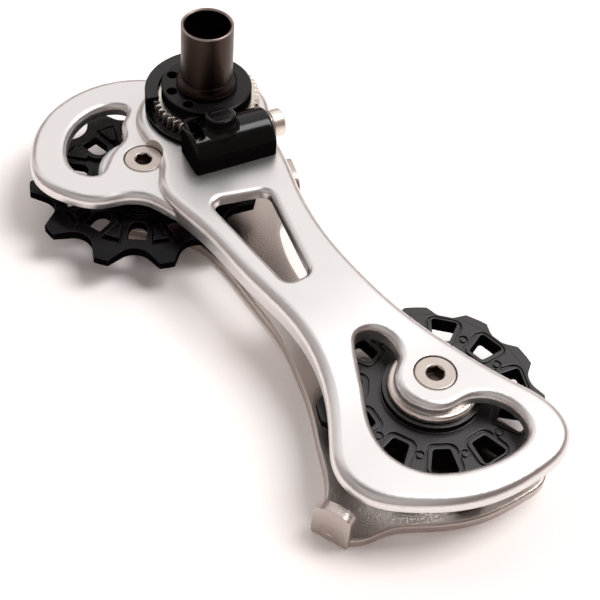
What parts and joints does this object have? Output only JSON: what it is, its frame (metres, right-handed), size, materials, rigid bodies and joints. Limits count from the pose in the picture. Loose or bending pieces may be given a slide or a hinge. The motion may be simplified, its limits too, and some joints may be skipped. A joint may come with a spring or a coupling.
{
  "type": "rear derailleur cage",
  "caption": "Rear derailleur cage with two jockey pulleys, a forged outer plate, a pressed inner plate, a hollow pivot tube and a worm-adjusted spring seat.",
  "frame": {"origin": "on the pivot axis, at the top face of the outer plate", "axes": "+Z along the pivot tube away from the cage, +X from the guide pulley to the tension pulley"},
  "size_m": [0.1256, 0.0635, 0.0366],
  "materials": {
    "polished_alloy": "polished satin",
    "satin_alloy": "satin",
    "black_nylon": "satin",
    "retainer_nylon": "matte",
    "shield_rubber": "matte",
    "bolt_steel": "turned",
    "bearing_steel": "ground",
    "dark_anodised": "hard anodised satin",
    "black_moulding": "satin to gloss",
    "nickel": "nickel plated"
  },
  "bodies": {
    "cage": {"outer_cage_plate": "polished_alloy", "inner_cage_plate": "satin_alloy", "guide_pulley_bolt": "bolt_steel", "guide_pulley_bush": "bearing_steel", "guide_cap_outer": "bearing_steel", "guide_cap_inner": "bearing_steel", "tension_pulley_bolt": "bolt_steel", "bearing_inner_ring": "bearing_steel", "dust_cap_outer": "satin_alloy", "dust_cap_inner": "satin_alloy", "pivot_tube": "dark_anodised", "seat_snap_ring": "nickel", "worm_housing": "black_moulding"},
    "guide_pulley_body": {"guide_pulley": "black_nylon"},
    "tension_pulley_body": {"tension_pulley": "black_nylon", "bearing_outer_ring": "bearing_steel", "bearing_shield_outer": "shield_rubber", "bearing_shield_inner": "shield_rubber"},
    "ball_set": {"bearing_balls": "bearing_steel", "bearing_retainer": "retainer_nylon"},
    "seat_body": {"spring_seat": "black_moulding", "worm_wheel": "nickel"},
    "worm_body": {"worm_screw": "nickel", "worm_clip": "bearing_steel"}
  },
  "joints": [
    {"name": "guide_pulley_spin", "type": "hinge", "parent": "cage", "child": "guide_pulley_body", "pos_m": [0.0009, -0.0182, -0.0091], "axis": [0, 0, 1], "continuous": true},
    {"name": "tension_pulley_spin", "type": "hinge", "parent": "cage", "child": "tension_pulley_body", "pos_m": [0.0759, -0.0182, -0.0091], "axis": [0, 0, 1], "continuous": true},
    {"name": "ball_set_spin", "type": "hinge", "parent": "cage", "child": "ball_set", "pos_m": [0.0759, -0.0182, -0.0091], "axis": [0, 0, 1], "continuous": true},
    {"name": "seat_turn", "type": "hinge", "parent": "cage", "child": "seat_body", "pos_m": [0, 0, 0.004], "axis": [0, 0, 1], "range_deg": [-20, 20]},
    {"name": "worm_turn", "type": "hinge", "parent": "cage", "child": "worm_body", "pos_m": [0.0117, -0.00454, 0.00305], "axis": [0.3616, 0.9323, 0], "range_deg": [-900, 900]}
  ],
  "couplings": [
    {"joint": "ball_set_spin", "follows": "tension_pulley_spin", "ratio": 0.62632},
    {"joint": "worm_turn", "follows": "seat_turn", "ratio": -45}
  ]
}
